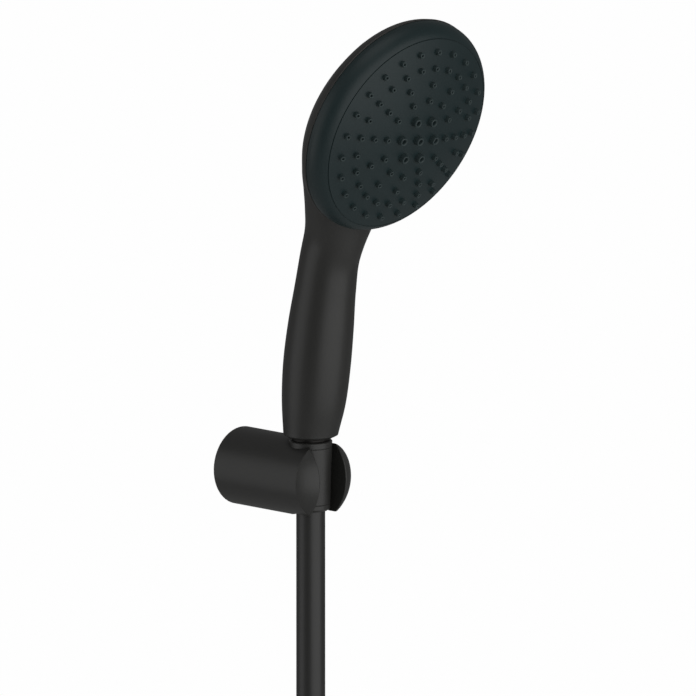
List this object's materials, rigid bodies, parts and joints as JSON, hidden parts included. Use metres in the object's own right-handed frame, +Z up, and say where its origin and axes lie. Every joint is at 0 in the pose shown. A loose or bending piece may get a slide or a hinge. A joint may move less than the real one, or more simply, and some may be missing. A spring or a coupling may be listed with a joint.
{
  "type": "handheld shower head",
  "caption": "Black handheld shower head with a round nozzle face, standing in a forked wall holder, with a smooth hose tied in a coil below.",
  "frame": {"origin": "centre of the holder's wall face, midway between its two screw holes", "axes": "+Z up, the wall's outward normal is -Y so that +Y runs into the wall, +X to the right of someone who faces the wall"},
  "size_m": [0.1881, 0.1538, 0.7127],
  "materials": {
    "satin_black": "satin moulded",
    "face_grey": "fine satin moulded",
    "nozzle_silicone": "soft silicone",
    "inner_plastic": "natural moulded",
    "seal_rubber": "soft rubber",
    "brass": "machined",
    "dark_plated": "plated",
    "steel": "bright",
    "hose_jacket": "smooth satin sleeve",
    "tie_strap": "woven hook and loop"
  },
  "bodies": {
    "holder": {"holder_body": "satin_black", "wall_plate": "inner_plastic", "grub_screw": "steel"},
    "hose": {"upper_insert": "brass", "upper_ferrule": "steel", "hose_run": "hose_jacket", "hose_coil": "hose_jacket", "hose_tail": "hose_jacket", "coil_tie": "tie_strap", "lower_insert": "brass", "lower_ferrule": "steel", "lower_washer": "seal_rubber"},
    "handset": {"handset_housing": "satin_black", "inlet_connector": "dark_plated", "inlet_o_ring": "seal_rubber", "flow_limiter": "inner_plastic", "filter_washer": "seal_rubber", "cone_nut": "satin_black", "waterway_tube": "inner_plastic", "tube_o_ring": "seal_rubber", "water_distributor": "inner_plastic", "engine_screws": "steel", "nozzle_mat": "nozzle_silicone", "rim_seal": "seal_rubber", "spray_faceplate": "face_grey"},
    "lower_nut": {"lower_nut": "satin_black"}
  },
  "joints": [
    {"name": "handset_lift", "type": "slide", "parent": "holder", "child": "hose", "axis": [0, 0, 1], "range_m": [0, 0.045]},
    {"name": "handset_turn", "type": "hinge", "parent": "hose", "child": "handset", "pos_m": [0, -0.0563, 0], "axis": [0, 0, 1], "range_deg": [-75, 75]},
    {"name": "lower_nut_spin", "type": "hinge", "parent": "hose", "child": "lower_nut", "pos_m": [0.083, -0.0923, -0.4291], "axis": [0, 0, 1], "continuous": true}
  ]
}
